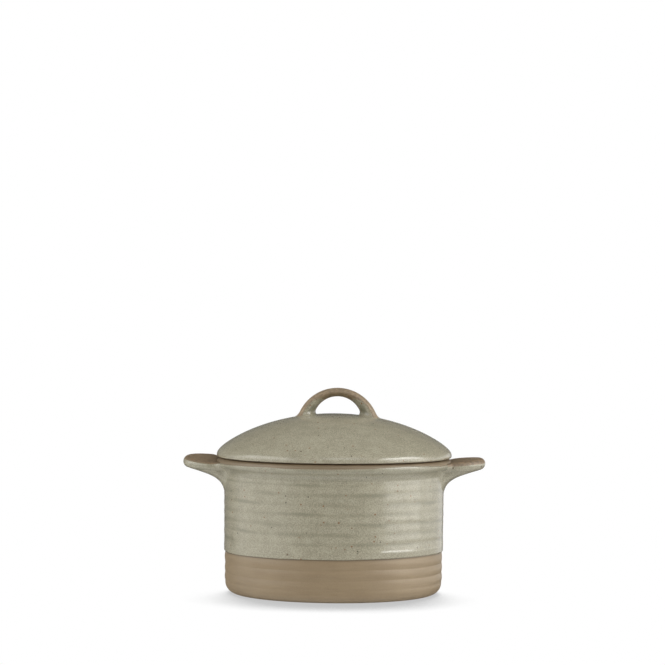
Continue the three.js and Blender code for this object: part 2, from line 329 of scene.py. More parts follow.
def makeOuterCoat():
    # a skin over wall, neck and lip: its lower edge is a quarter round with a bead above it, its thickness
    # dies out at a wandering line round the lip, and its hidden side runs back down just inside the clay
    columns = coat["columns"]
    turn = np.linspace(0, 2 * np.pi, columns, endpoint=False)
    edge = glazeEdge(turn)
    low = coat["roll"] * (1 - np.cos(np.linspace(0, np.pi / 2, coat["edgeRows"])))[:, None] + edge
    share = np.linspace(0, 1, coat["wallRows"])[1:, None]
    wallZ = np.concatenate([low, (edge + coat["roll"]) * (1 - share) + neckZ * share])
    rise = wallZ - edge
    body = np.sqrt(1 - (1 - np.clip(rise / coat["roll"], 0, 1)) ** 2)
    over = rise - coat["beadRise"]
    swell = coat["bead"] + lobes(turn, coat["beadLobes"])
    bead = swell * np.exp(-(over / np.where(over > 0, coat["beadWidth"], coat["beadSkirt"])) ** 2)
    fade = smooth(neckZ - wallZ, 0, coat["ringFadeOut"])
    rings = throwingRings(turn, wallZ, pot["glazeLine"] + coat["ringStart"], coat["ringSharpness"])
    wallR = wallAt(wallZ) + body * (coat["thickness"] + coat["ringRise"] * rings * fade) + bead * body

    top = coat["topAngle"] + wander(turn, 0, coat["topWander"]) + lobes(turn, coat["topLobes"])
    neck = arc(neckR, neckZ, pot["neckRound"] - coat["thickness"], 180, neckTurn, coat["neckRows"])
    lipShare = np.linspace(0, 1, coat["lipRows"])[:, None]
    thinned = np.clip((lipShare - coat["thinFrom"]) / (1 - coat["thinFrom"]), 0, 1)
    lipR = pot["lipRound"] + coat["thickness"] * np.sqrt(1 - thinned ** 2) + coat["thinnest"]
    lip = arc(lipCentre[0], lipCentre[1], lipR, neckTurn - 180, top, coat["lipRows"])
    backLip = arc(lipCentre[0], lipCentre[1], pot["lipRound"] - coat["sunk"], top, neckTurn - 180, 6)
    backNeck = arc(neckR, neckZ, pot["neckRound"] + coat["sunk"], neckTurn, 180, 6)
    backZ = neckZ + (edge - neckZ) * np.linspace(0.02, 1, 10)[:, None]
    stretches = [
        (wallR, wallZ), (neck[0][1:], neck[1][1:]), (lip[0][1:], lip[1][1:]), backLip, backNeck,
        (wallAt(backZ) - coat["sunk"], backZ)]
    points = swollen(turned(stretches, columns), pot["wobble"])

    streaks = np.clip(coat["streakMean"] + wander(turn, wallZ, coat["streaks"]), 0, coat["streakMost"])
    pooled = (1 - np.clip(rings, 0, 1)) * streaks * fade * smooth(rise, *coat["poolHeight"])
    lost = coat["depthLost"] * smooth(lipShare[1:], coat["lostFrom"], 1.0)
    front = np.concatenate([
        coat["depthWall"] + coat["pool"] * pooled,
        np.full((coat["neckRows"] - 1, columns), coat["depthNeck"]),
        np.broadcast_to(coat["depthLip"] - lost, (coat["lipRows"] - 1, columns))])
    back = np.full((len(points) - len(front), columns), coat["depthBack"])
    return pieceFromGrid("outerGlazeCoat", points, np.concatenate([front, back]), wrapRows=True)


outerCoat = makeOuterCoat()
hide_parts("outer_glaze_coat")
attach(outerCoat, "pot")
print("outer glaze coat:", len(outerCoat.data.polygons), "faces")

liner = dict(
    thickness=0.5,
    sunk=0.15,
    edge=nodeBox("liner_glaze_coat")[1][2],
    gap=1.0,  # how far plain stretches keep from the rounds
    columns=240,
)


def makeLinerCoat():
    # a skin inside the bowl: hidden side from the middle of the floor up, a rounded top edge, and the glazed
    # side back down to the floor
    columns = liner["columns"]
    floor = pot["floorThickness"]
    out, inner = -liner["sunk"], liner["thickness"]
    centre = bowlRadius - pot["bowlRound"]
    centreZ = floor + pot["bowlRound"]
    half = (inner - out) / 2
    edgeZ = liner["edge"] - half
    gap = liner["gap"]
    points = turned([
        line(axisHole, floor + out, centre - gap, floor + out, 6),
        arc(centre, centreZ, pot["bowlRound"] - out, -90, 0, 8),
        line(bowlRadius - out, centreZ + gap, bowlRadius - out, edgeZ, 6),
        arc(bowlRadius - out - half, edgeZ, half, 0, 180, 9),
        line(bowlRadius - inner, edgeZ - gap, bowlRadius - inner, centreZ + gap, 24),
        arc(centre, centreZ, pot["bowlRound"] - inner, 0, -90, 24),
        line(centre - gap, floor + inner, axisHole, floor + inner, 24),
    ], columns)
    return pieceFromGrid("linerGlazeCoat", points, 1.0)


linerCoat = makeLinerCoat()
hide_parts("liner_glaze_coat")
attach(linerCoat, "pot")
print("liner glaze coat:", len(linerCoat.data.polygons), "faces")

# Lugs: the frame gives reach and half width
lugHigh = nodeBox("right_lug_handle")[1]
lug = dict(
    reach=lugHigh[0],
    halfWidth=lugHigh[1],
    rootHalfWidth=13.0,
    footHalfWidth=5.0,
    footPower=4,  # how quickly the root widens above its foot
    rootDepth=20.6,
    rootRun=10.6,
    undercut=12.0,
    drop=0.45,
    tilt=0.06,
    noseRound=3.2,
    noseAngle=-75.0,
    squareness=2.4,
    sideFillet=2.6,  # rounds where the sides and the top run into the pot
    topFillet=0.8,
    valley=1.5,  # dip of the top next to the lip
    valleyReach=4.0,
    crown=0.7,  # fall of the top from its middle to its sides
    dipGlaze=0.5,  # glaze that lies in the dip, and how far out
    dipReach=2.0,
    backInset=1.0,  # hidden back, inside the wall
    rootOut=0.3,  # how far the foot of the root stands out from the wall
    topInset=2.0,  # how far the top runs into the wall, and how much narrower it gets on the way
    topNarrowing=4.0,
    topOnset=4,  # power by which the top's shaping sets in round the nose
    leanDepth=8.0,  # depth below the top, and reach from the wall, over which the lean sets in
    leanReach=8.0,
    glazeDepth=1.15,
    brownLoss=1.25,  # depth that the brown top loses, and half the width of the change
    brownBlur=0.5,
    underRows=48,
    noseRows=24,
    topRows=42,
    frontColumns=121,
    backColumns=14,
    crowding=1.6,  # columns lie closer together towards the wall
)


def squared(value, squareness):
    # an angle's sine or cosine drawn out towards the corners of a superellipse
    return np.sign(value) * np.abs(value) ** (2 / squareness)


def makeLug(name, side, lean, brownDown):
    # a stack of plan outlines that stand out from the round of the wall by half superellipses; their reach,
    # half width and height follow a curve from the foot of the root along the underside, round the nose and
    # back over the top; each outline is closed by an arc just inside the wall, and fillets join it to the pot
    top = pot["rimTop"] - lug["drop"]
    noseR, noseZ = arc(lug["reach"] - lug["noseRound"], top - lug["noseRound"], lug["noseRound"],
                       lug["noseAngle"], 90, lug["noseRows"])
    slope = np.radians(lug["noseAngle"] + 90)
    root = np.array([wallRadius + lug["rootOut"], top - lug["rootDepth"]])
    bend = root + [0, lug["rootRun"]]
    end = np.array([noseR[0, 0], noseZ[0, 0]])
    lead = end - lug["undercut"] * np.array([np.cos(slope), np.sin(slope)])
    t = np.linspace(0, 1, lug["underRows"])[:-1, None]
    under = (1 - t) ** 3 * root + 3 * (1 - t) ** 2 * t * bend + 3 * (1 - t) * t ** 2 * lead + t ** 3 * end
    noseHalf = lug["halfWidth"] - lug["reach"] + noseR
    plainHalf = lug["rootHalfWidth"] * (1 - t) + noseHalf[0] * t
    widened = 1 - (1 - t) ** lug["footPower"]
    underHalf = np.sqrt(lug["footHalfWidth"] ** 2 * (1 - widened) + plainHalf ** 2 * widened)
    back = np.linspace(0, 1, lug["topRows"])[1:, None]
    topR = noseR[-1] * (1 - back) + (wallRadius - lug["topInset"]) * back
    reach = np.concatenate([under[:, :1], noseR, topR])
    half = np.concatenate([underHalf, noseHalf, noseHalf[-1] - lug["topNarrowing"] * back])
    level = np.concatenate([under[:, 1:], noseZ, np.full_like(back, top)])
    onset = np.linspace(0, 1, lug["noseRows"])[:, None] ** lug["topOnset"]
    isTop = np.concatenate([np.zeros_like(t), onset, np.ones_like(back)])

    share = np.linspace(-1, 1, lug["frontColumns"])
    turn = np.pi / 2 * np.sign(share) * (1 - (1 - np.abs(share)) ** lug["crowding"])
    wall = wallAt(np.minimum(level, neckZ))
    y = half * squared(np.sin(turn), lug["squareness"])
    x = np.sqrt(wall ** 2 - y ** 2) + (reach - wall) * squared(np.cos(turn), lug["squareness"])
    z = level + lug["tilt"] * (x - pot["lipRadius"])
    away = np.hypot(x, y) - potOutside(z) - coat["thickness"]
    radius = np.hypot(x, y)
    aside = np.arctan2(y, x) + fillet(away, lug["sideFillet"]) * squared(np.sin(turn), 1) / radius
    x, y = radius * np.cos(aside), radius * np.sin(aside)
    toEnd = np.minimum((y / lug["halfWidth"]) ** 2, 1)
    valley = lug["valley"] * np.exp(-np.maximum(away, 0) / lug["valleyReach"])
    climb = fillet(away, lug["topFillet"]) * (1 - toEnd)
    z = z - isTop * (valley - climb + lug["crown"] * toEnd)
    upper = smooth(level, top - lug["leanDepth"], top) * smooth(x, wallRadius, wallRadius + lug["leanReach"])
    z = z + side * np.radians(lean) * y * upper
    ends = np.arctan2(y[:, -1:], x[:, -1:]) * np.linspace(1, -1, lug["backColumns"] + 2)[1:-1]
    backR = np.hypot(x[:, -1:], y[:, -1:]) - lug["backInset"]
    backZ = np.broadcast_to(z[:, -1:], ends.shape)
    front = np.stack([x, y, z], axis=-1)
    hidden = np.stack([backR * np.cos(ends), backR * np.sin(ends), backZ], axis=-1)
    points = np.concatenate([front, hidden], axis=1)
    brown = top - brownDown
    browned = smooth(level, brown - lug["brownBlur"], brown + lug["brownBlur"])
    depth = lug["glazeDepth"] - lug["brownLoss"] * browned
    inDip = isTop * np.exp(-(np.maximum(away, 0) / lug["dipReach"]) ** 2)
    depth = np.concatenate([depth + lug["dipGlaze"] * inDip, np.broadcast_to(depth, ends.shape)], axis=1)
    return pieceFromGrid(name, points * np.array([side, side, 1]), depth)


lugs = (
    dict(name="leftLug", node="left_lug_handle", side=-1, lean=6.0, brownDown=1.5),
    dict(name="rightLug", node="right_lug_handle", side=1, lean=1.5, brownDown=2.7),
)
for each in lugs:
    piece = makeLug(each["name"], each["side"], each["lean"], each["brownDown"])
    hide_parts(each["node"])
    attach(piece, "pot")
    print(each["name"] + ":", len(piece.data.polygons), "faces")

# Lid: the frame gives its radius, crown and the bottom of its flange
lidLow, lidHigh = nodeBox("lid_dome")
lid = dict(
    radius=lidHigh[0],
    crown=lidHigh[2],
    bottom=lidLow[2],
    seatGap=0.3,
    edgeRound=1.1,
    edgeUpright=3.0,  # height over which the edge turns from upright to most of the dome's slope
    fullness=0.72,
    thickness=5.2,
    flangeThickness=4.0,
    flangeClearance=1.0,
    flangeRound=1.2,
    linerGap=0.05,  # between the pot's liner and its clay, as in the solids
    hollowRound=1.5,  # corner between the underside and the flange
    seatFillet=0.6,
    seatBare=0.25,  # height above the seat up to which the edge has no glaze
    gap=1.0,  # how far the flange's plain stretches keep from its rounds, and the seat from the edge's round
    seatInset=0.5,
    wobble=[(2, 80.0, 2.0, 0.1), (3, 55.0, 0.7, 0.06)],
    underRows=24,
    domeRows=92,
    columns=288,
)
lidSeat = pot["rimTop"] + lid["seatGap"]
lidEdge = lidSeat + lid["edgeRound"]


def domeAt(radius):
    # the dome rises from its edge as a power of one less the squared share of the radius
    share = np.maximum(1 - (radius / lid["radius"]) ** 2, 0)
    return lidEdge + (lid["crown"] - lidEdge) * share ** lid["fullness"]


def makeLidDome():
    # a profile carried round the axis: underside of the dome from the middle out, flange, seat, edge and
    # the outside of the dome back to the crown, with close steps at the edge
    columns = lid["columns"]
    outside = bowlRadius - liner["thickness"] - lid["linerGap"] - lid["flangeClearance"]
    inside = outside - lid["flangeThickness"]
    hollow, corner, gap = lid["hollowRound"], lid["seatFillet"], lid["gap"]
    underR = np.linspace(axisHole, inside - hollow, lid["underRows"])[:, None]
    hollowZ = domeAt(inside) - lid["thickness"] - hollow
    edgeR = lid["radius"] - lid["edgeRound"]
    domeR = lid["radius"] * np.cos(np.linspace(0, np.pi / 2, lid["domeRows"])[1:-1, None])
    domeR = np.append(domeR, [[axisHole]], axis=0)
    domeZ = domeAt(domeR)
    domeR = lid["radius"] - (lid["radius"] - domeR) * (1 - np.exp((lidEdge - domeZ) / lid["edgeUpright"]))
    flange = lid["flangeRound"]
    flangeZ = lid["bottom"] + flange
    points = turned([
        (underR, domeAt(underR) - lid["thickness"]),
        arc(inside - hollow, hollowZ, hollow, 75, 0, 5),
        line(inside, hollowZ - gap, inside, flangeZ + gap, 6),
        arc(inside + flange, flangeZ, flange, 180, 270, 7),
        arc(outside - flange, flangeZ, flange, -90, 0, 7),
        line(outside, flangeZ + gap, outside, lidSeat - corner, 4),
        arc(outside + corner, lidSeat - corner, corner, 180, 90, 4),
        line(outside + 2 * corner, lidSeat, edgeR - lid["seatInset"], lidSeat, 6),
        arc(edgeR, lidEdge, lid["edgeRound"], -90, 0, 14),
        (domeR, domeZ),
    ], columns)
    radius = np.hypot(points[..., 0], points[..., 1])
    seated = (points[..., 2] < lidSeat + lid["seatBare"]) & (radius > inside)
    return pieceFromGrid("lidDome", swollen(points, lid["wobble"]), np.where(seated, 0.0, 1.0))


lidDome = makeLidDome()
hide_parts("lid_dome")
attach(lidDome, "lid")
print("lid dome:", len(lidDome.data.polygons), "faces")

# Loop: the frame gives its top; rise is 1 on the crest of its outer face and -1 on that of its inner face
loop = dict(
    top=nodeBox("lid_loop_handle")[1][2],
    outerRadius=22.8,
    innerRadius=13.2,
    topThickness=4.65,
    topWidth=13.0,
    footWidth=17.0,
    offset=1.6,  # the loop sits a little to the right of the crown
    outerDepth=2.0,  # of the outer face, from its crest to the strap's edges
    outerSquareness=2.4,
    innerSquareness=1.8,
    fillet=2.8,  # round where the feet meet the dome
    outerFillet=0.5,  # share of it on the outer face
    footSink=3.0,  # how far the feet run into the lid
    brownLoss=0.85,  # depth that the glaze loses where it is brown
    outerRise=(-0.2, 0.12),  # brown on the outer face: rises and heights above the dome where it sets in
    outerHeight=(-0.2, 0.9),
    topShare=0.95,  # brown under the top: how much, how far it spreads, and heights where it sets in
    topSpread=2.5,
    topHeight=(-11.0, -2.0),
    innerShare=0.9,  # brown on the crest of the inner face
    innerRise=(0.78, 0.93),
    innerHeight=(1.5, 4.0),
    pool=0.55,  # deeper glaze on the rest of the inner face, and painted shade there, as that face turns down and in
    poolAndShadeRise=(0.2, 0.45),
    poolHeight=(0.5, 3.0),
    stations=150,
    columns=72,
)


def makeLoop():
    # a section carried along an arch: each section spans an outer and an inner circle, is widest near the
    # outer one, and spreads where it comes near the dome
    outerZ = loop["top"] - loop["outerRadius"]
    innerZ = loop["top"] - loop["topThickness"] - loop["innerRadius"]
    foot = domeAt(loop["outerRadius"]) - loop["footSink"]
    outerStart = np.arcsin((foot - outerZ) / loop["outerRadius"])
    innerStart = np.arcsin((foot - innerZ) / loop["innerRadius"])
    share = np.linspace(0, 1, loop["stations"])
    outerTurn = outerStart + (np.pi - 2 * outerStart) * share
    innerTurn = innerStart + (np.pi - 2 * innerStart) * share
    outer = np.stack([np.cos(outerTurn), np.sin(outerTurn)], -1) * loop["outerRadius"] + [0, outerZ]
    inner = np.stack([np.cos(innerTurn), np.sin(innerTurn)], -1) * loop["innerRadius"] + [0, innerZ]
    thickness = np.linalg.norm(outer - inner, axis=1)
    across = (outer - inner) / thickness[:, None]
    spine = outer - across * loop["outerDepth"]
    halfWidth = (loop["footWidth"] + (loop["topWidth"] - loop["footWidth"]) * np.sin(outerTurn)) / 2

    turn = np.linspace(0, 2 * np.pi, loop["columns"], endpoint=False)
    outward = np.sin(turn) > 0
    squareness = np.where(outward, loop["outerSquareness"], loop["innerSquareness"])
    rise = squared(np.sin(turn), squareness)
    reach = rise * np.where(outward, loop["outerDepth"], (thickness - loop["outerDepth"])[:, None])
    y = halfWidth[:, None] * squared(np.cos(turn), squareness)
    x = loop["offset"] + spine[:, :1] + across[:, :1] * reach
    z = spine[:, 1:] + across[:, 1:] * reach
    spread = fillet(z - domeAt(np.hypot(x, y)), loop["fillet"]) * np.where(outward, loop["outerFillet"], 1)
    grown = spread / np.hypot(reach, y)
    x = x + across[:, :1] * reach * grown
    z = z + across[:, 1:] * reach * grown
    y = y * (1 + grown)
    above = z - domeAt(np.hypot(x, y))
    belowTop = z - loop["top"] + loop["topSpread"] * np.abs(rise)
    brownOuter = smooth(rise, *loop["outerRise"]) * smooth(above, *loop["outerHeight"])
    brownTop = loop["topShare"] * smooth(belowTop, *loop["topHeight"])
    brownInner = loop["innerShare"] * smooth(-rise, *loop["innerRise"]) * smooth(above, *loop["innerHeight"])
    # the inner face is darkened towards the pool colour: partly pooled glaze, partly painted shade of a face
    # turned down and in
    pooled = loop["pool"] * smooth(-rise, *loop["poolAndShadeRise"]) * smooth(above, *loop["poolHeight"])
    brown = np.maximum(np.maximum(brownOuter, brownTop), brownInner)
    depth = 1.0 + pooled - (loop["brownLoss"] + pooled) * brown
    return pieceFromGrid("lidLoop", np.stack([x, y, z], axis=-1), depth)


lidLoop = makeLoop()
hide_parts("lid_loop_handle")
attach(lidLoop, "lid")
print("lid loop:", len(lidLoop.data.polygons), "faces")


def srgb(red, green, blue):
    # a colour as seen on a screen, 0 to 255, in the linear values that shaders take
    share = np.array([red, green, blue]) / 255
    linear = np.where(share <= 0.04045, share / 12.92, ((share + 0.055) / 1.055) ** 2.4)
    return (*linear, 1.0)


def newGroup(name, inputs, outputs):
    # a shader group with its named inputs and outputs
    group = bpy.data.node_groups.new(name, "ShaderNodeTree")
    for socketName, kind, value in inputs:
        socket = group.interface.new_socket(socketName, in_out="INPUT", socket_type="NodeSocket" + kind)
        if value is not None:
            socket.default_value = value
    for socketName, kind in outputs:
        group.interface.new_socket(socketName, in_out="OUTPUT", socket_type="NodeSocket" + kind)
    return group, group.nodes.new("NodeGroupInput"), group.nodes.new("NodeGroupOutput")


def addNode(tree, kind, links=None, **settings):
    # a node with its settings, and its inputs linked from sockets or set to values
    node = tree.nodes.new(kind)
    for key, value in settings.items():
        setattr(node, key, value)
    for key, value in (links or {}).items():
        if isinstance(value, bpy.types.NodeSocket):
            tree.links.new(value, node.inputs[key])
        else:
            node.inputs[key].default_value = value
    return node


def noise(tree, place, scale, detail=2.0, roughness=0.5):
    return addNode(tree, "ShaderNodeTexNoise", {
        "Vector": place, "Scale": scale, "Detail": detail, "Roughness": roughness}).outputs["Fac"]


def math(tree, operation, a, b=0.0, c=0.0, clamp=False):
    values = {0: a, 1: b, 2: c}
    return addNode(tree, "ShaderNodeMath", values, operation=operation, use_clamp=clamp).outputs[0]


def ramp(tree, value, low, high, fromValue=0.0, toValue=1.0):
    return addNode(tree, "ShaderNodeMapRange", {
        "Value": value, "From Min": low, "From Max": high, "To Min": fromValue, "To Max": toValue},
        interpolation_type="SMOOTHSTEP").outputs["Result"]


def mixColour(tree, factor, a, b):
    node = addNode(tree, "ShaderNodeMix", data_type="RGBA")
    for key, value in (("Factor_Float", factor), ("A_Color", a), ("B_Color", b)):
        socket = next(s for s in node.inputs if s.identifier == key)
        if isinstance(value, bpy.types.NodeSocket):
            tree.links.new(value, socket)
        else:
            socket.default_value = value
    return next(s for s in node.outputs if s.identifier == "Result_Color")


# Iron specks: small round spots at the points of a cell pattern, each with its own size and tint
speckLook = dict(
    spread=260.0,
    size=0.15,
    smallest=0.4,  # share of the size
    core=0.55,  # share of a spot that is fully dark
)
specks, groupIn, groupOut = newGroup(
    "ironSpecks",
    [("Place", "Vector", None), ("Spread", "Float", speckLook["spread"]),
     ("Size", "Float", speckLook["size"])],
    [("Mask", "Float"), ("Tint", "Float")])
cells = addNode(specks, "ShaderNodeTexVoronoi", {
    "Vector": groupIn.outputs["Place"], "Scale": groupIn.outputs["Spread"]})
chance = addNode(specks, "ShaderNodeSeparateColor", {"Color": cells.outputs["Color"]})
share = ramp(specks, chance.outputs["Red"], 0.0, 1.0, speckLook["smallest"], 1.0)
spotSize = math(specks, "MULTIPLY", groupIn.outputs["Size"], share)
ratio = math(specks, "DIVIDE", cells.outputs["Distance"], spotSize)
specks.links.new(ramp(specks, ratio, 1.0, speckLook["core"]), groupOut.inputs["Mask"])
specks.links.new(chance.outputs["Green"], groupOut.inputs["Tint"])

# Clay: a fine grain, broad patches and faint lines round the piece left by fingers; darker where the
# depth is below 0, as towards the top of the lip and just below the glaze line, where it is partly painted
# shade
clayLook = dict(
    lineScale=900.0,
    lineFlat=(0.08, 0.08, 1.0),  # draws the lines out round the piece
    grainScale=1700.0,
    patchScale=60.0,
    grainTone=0.5,
    lineTone=0.3,
    patchTone=0.4,
    toneRange=(0.4, 0.8),
    darkeningDepth=-2.0,
    darkeningValue=0.48,
    roughness=(0.36, 0.48),
    grainRange=(0.2, 0.8),
    lineRelief=0.7,
    grainRelief=0.3,
)
clay, groupIn, groupOut = newGroup(
    "clayGrain",
    [("Place", "Vector", None), ("Depth", "Float", 0.0), ("Dark", "Color", (0, 0, 0, 1)),
     ("Pale", "Color", (1, 1, 1, 1))],
    [("Color", "Color"), ("Roughness", "Float"), ("Height", "Float")])
place = groupIn.outputs["Place"]
flatten = {0: place, 1: clayLook["lineFlat"]}
flat = addNode(clay, "ShaderNodeVectorMath", flatten, operation="MULTIPLY").outputs[0]
lines = noise(clay, flat, clayLook["lineScale"], 3.0, 0.6)
grain = noise(clay, place, clayLook["grainScale"], 3.0, 0.7)
patches = noise(clay, place, clayLook["patchScale"], 3.0)
tone = math(clay, "MULTIPLY", patches, clayLook["patchTone"])
tone = math(clay, "MULTIPLY_ADD", lines, clayLook["lineTone"], tone)
tone = math(clay, "MULTIPLY_ADD", grain, clayLook["grainTone"], tone)
pale = ramp(clay, tone, *clayLook["toneRange"])
clayColour = mixColour(clay, pale, groupIn.outputs["Dark"], groupIn.outputs["Pale"])
darkening = ramp(clay, groupIn.outputs["Depth"], clayLook["darkeningDepth"], 0.0, clayLook["darkeningValue"], 1.0)
darkened = addNode(clay, "ShaderNodeHueSaturation", {"Color": clayColour, "Value": darkening})
clay.links.new(darkened.outputs["Color"], groupOut.inputs["Color"])
matt = ramp(clay, grain, *clayLook["grainRange"], *clayLook["roughness"])
clay.links.new(matt, groupOut.inputs["Roughness"])
relief = math(clay, "MULTIPLY", grain, clayLook["grainRelief"])
relief = math(clay, "MULTIPLY_ADD", lines, clayLook["lineRelief"], relief)
clay.links.new(relief, groupOut.inputs["Height"])

# Glaze over clay: pale and deep grains mixed by noise, deeper where it pools, and broken through to mottled
# brown clay where the depth over the clay falls towards 0
glazeLook = dict(
    fineScale=1900.0,
    broadScale=170.0,
    raggedScale=600.0,
    fineTone=0.8,
    broadTone=0.2,
    toneRange=(0.39, 0.61),
    poolDepth=(1.0, 1.6),
    poolMost=0.8,
    raggedness=0.5,  # how unevenly the glaze breaks, and the depths between which it does
    breakDepth=(0.35, 0.65),
    mottleRange=(0.3, 0.7),
    mottle=(0.78, 1.2),
    clayShade=0.8,  # of the clay's dark grains
    speckCover=0.8,
    speckDark=(0.7, 0.85),  # tints between which specks turn from brown to near black
    speckBrown=srgb(132, 92, 58),
    speckBlack=srgb(62, 54, 42),
    fineRange=(0.2, 0.8),
    roughness=(0.14, 0.24),
    bareRougher=0.15,
    broadRelief=0.5,
)
glaze, groupIn, groupOut = newGroup(
    "glazeOverClay",
    [("Place", "Vector", None), ("Depth", "Float", 1.0), ("Pale", "Color", (1, 1, 1, 1)),
     ("Deep", "Color", (0, 0, 0, 1)), ("Pool", "Color", (0, 0, 0, 1)), ("Clay", "Color", (0, 0, 0, 1)),
     ("Speck Size", "Float", 0.1)],
    [("Color", "Color"), ("Roughness", "Float"), ("Height", "Float")])
place, depth = groupIn.outputs["Place"], groupIn.outputs["Depth"]
fine = noise(glaze, place, glazeLook["fineScale"], 2.0, 0.6)
broad = noise(glaze, place, glazeLook["broadScale"], 3.0)
ragged = noise(glaze, place, glazeLook["raggedScale"], 3.0, 0.6)
tone = math(glaze, "MULTIPLY", broad, glazeLook["broadTone"])
tone = math(glaze, "MULTIPLY_ADD", fine, glazeLook["fineTone"], tone)
pale = ramp(glaze, tone, *glazeLook["toneRange"])
body = mixColour(glaze, pale, groupIn.outputs["Deep"], groupIn.outputs["Pale"])
pooled = ramp(glaze, depth, *glazeLook["poolDepth"], 0.0, glazeLook["poolMost"])
body = mixColour(glaze, pooled, body, groupIn.outputs["Pool"])
uneven = math(glaze, "SUBTRACT", ragged, 0.5)
uneven = math(glaze, "MULTIPLY_ADD", uneven, glazeLook["raggedness"], depth)
cover = ramp(glaze, uneven, *glazeLook["breakDepth"])
mottle = ramp(glaze, ragged, *glazeLook["mottleRange"], *glazeLook["mottle"])
clayPart = groupIn.outputs["Clay"]
clayPale = addNode(glaze, "ShaderNodeHueSaturation", {"Color": clayPart, "Value": mottle}).outputs["Color"]
clayDark = addNode(glaze, "ShaderNodeHueSaturation", {"Color": clayPale, "Value": glazeLook["clayShade"]})
clayNode = addNode(glaze, "ShaderNodeGroup", node_tree=clay)
glaze.links.new(place, clayNode.inputs["Place"])
glaze.links.new(clayPale, clayNode.inputs["Pale"])
glaze.links.new(clayDark.outputs["Color"], clayNode.inputs["Dark"])
body = mixColour(glaze, cover, clayNode.outputs["Color"], body)
speckNode = addNode(glaze, "ShaderNodeGroup", node_tree=specks)
glaze.links.new(place, speckNode.inputs["Place"])
glaze.links.new(groupIn.outputs["Speck Size"], speckNode.inputs["Size"])
darkest = ramp(glaze, speckNode.outputs["Tint"], *glazeLook["speckDark"])
speckColour = mixColour(glaze, darkest, glazeLook["speckBrown"], glazeLook["speckBlack"])
speckled = math(glaze, "MULTIPLY", speckNode.outputs["Mask"], glazeLook["speckCover"])
body = mixColour(glaze, speckled, body, speckColour)
glaze.links.new(body, groupOut.inputs["Color"])
glossy = ramp(glaze, fine, *glazeLook["fineRange"], *glazeLook["roughness"])
bare = math(glaze, "ADD", clayNode.outputs["Roughness"], glazeLook["bareRougher"])
glossDrop = math(glaze, "SUBTRACT", glossy, bare)
glaze.links.new(math(glaze, "MULTIPLY_ADD", cover, glossDrop, bare), groupOut.inputs["Roughness"])
relief = math(glaze, "MULTIPLY_ADD", broad, glazeLook["broadRelief"], cover)
glaze.links.new(relief, groupOut.inputs["Height"])
print("shader groups made")

clayFinish = dict(ior=1.5, bumpStrength=0.35, bumpDistance=0.15)
glazeFinish = dict(ior=1.6, bumpStrength=0.25, bumpDistance=0.12)
bareColours = {"Pale": srgb(155, 136, 107), "Dark": srgb(142, 123, 95)}
wallColours = {
    "Pale": srgb(176, 170, 148), "Deep": srgb(147, 142, 122), "Pool": srgb(124, 122, 101),
    "Clay": srgb(134, 114, 87), "Speck Size": 0.17}
# painted light: the loop's clay is lighter than the wall's, as the top of the loop faces the lamps
loopColoursWithPaintedLight = {**wallColours, "Clay": srgb(151, 131, 103)}


def newMaterial(name, tree, values, piece, ior, bumpStrength, bumpDistance):
    # a Principled shader fed by one group that reads the piece's own coordinates and its depth of glaze
    material = bpy.data.materials.new(name)
    material.use_nodes = True
    nodes = material.node_tree
    shader = nodes.nodes["Principled BSDF"]
    shader.inputs["IOR"].default_value = ior
    place = addNode(nodes, "ShaderNodeTexCoord").outputs["Object"]
    depth = addNode(nodes, "ShaderNodeAttribute", attribute_name="glazeDepth").outputs["Fac"]
    group = addNode(nodes, "ShaderNodeGroup", node_tree=tree)
    nodes.links.new(place, group.inputs["Place"])
    nodes.links.new(depth, group.inputs["Depth"])
    for key, value in values.items():
        group.inputs[key].default_value = value
    nodes.links.new(group.outputs["Color"], shader.inputs["Base Color"])
    nodes.links.new(group.outputs["Roughness"], shader.inputs["Roughness"])
    bump = addNode(nodes, "ShaderNodeBump", {
        "Height": group.outputs["Height"], "Strength": bumpStrength, "Distance": bumpDistance * mm})
    nodes.links.new(bump.outputs["Normal"], shader.inputs["Normal"])
    piece.data.materials.append(material)


newMaterial("bareStoneware", clay, bareColours, potBody, **clayFinish)
newMaterial("wallGlaze", glaze, wallColours, outerCoat, **glazeFinish)
newMaterial("linerGlaze", glaze, wallColours, linerCoat, **glazeFinish)
newMaterial("lidGlaze", glaze, wallColours, lidDome, **glazeFinish)
newMaterial("loopGlaze", glaze, loopColoursWithPaintedLight, lidLoop, **glazeFinish)
for each in lugs:
    newMaterial(each["name"] + "Glaze", glaze, wallColours, bpy.data.objects[each["name"]], **glazeFinish)
print("materials made")

# Stage: a pale floor, white to the camera but for the shade close round the foot, under a white world
stage = dict(
    floorSize=6.0,
    floorColour=(0.8, 0.8, 0.8, 1),
    shadeReach=0.056,
    shadeLean=(0.0, 1.0, 0.4),  # the shade falls towards the camera
    shadeDark=0.55,
    shadeFrom=0.5,
    shadeTo=0.8,
    clearance=0.05,  # below the foot
    bounce=0.12,
    ambientLow=0.36,
    ambientHigh=0.5,
    ambientRise=(0.0, 0.9),
    ceilingGloss=0.12,  # strength that reflections see in a direction, and where it sets in
    ceilingRise=(0.15, 0.5),
    behindGloss=0.12,
    behindDepth=(0.3, 0.7),
    aheadGloss=0.15,
    aheadDepth=(-0.95, -0.5),
)
floorZ = (potLow[2] - stage["clearance"]) * mm
bpy.ops.mesh.primitive_plane_add(size=stage["floorSize"], location=(0, 0, floorZ))
floor = bpy.context.object
floor.name = "floor"
floorMaterial = bpy.data.materials.new("paleFloor")
floorMaterial.use_nodes = True
tree = floorMaterial.node_tree
tree.nodes.remove(tree.nodes["Principled BSDF"])
rays = addNode(tree, "ShaderNodeLightPath")
seen = math(tree, "ADD", rays.outputs["Is Camera Ray"], rays.outputs["Is Glossy Ray"])
seen = math(tree, "ADD", seen, rays.outputs["Is Transmission Ray"], clamp=True)
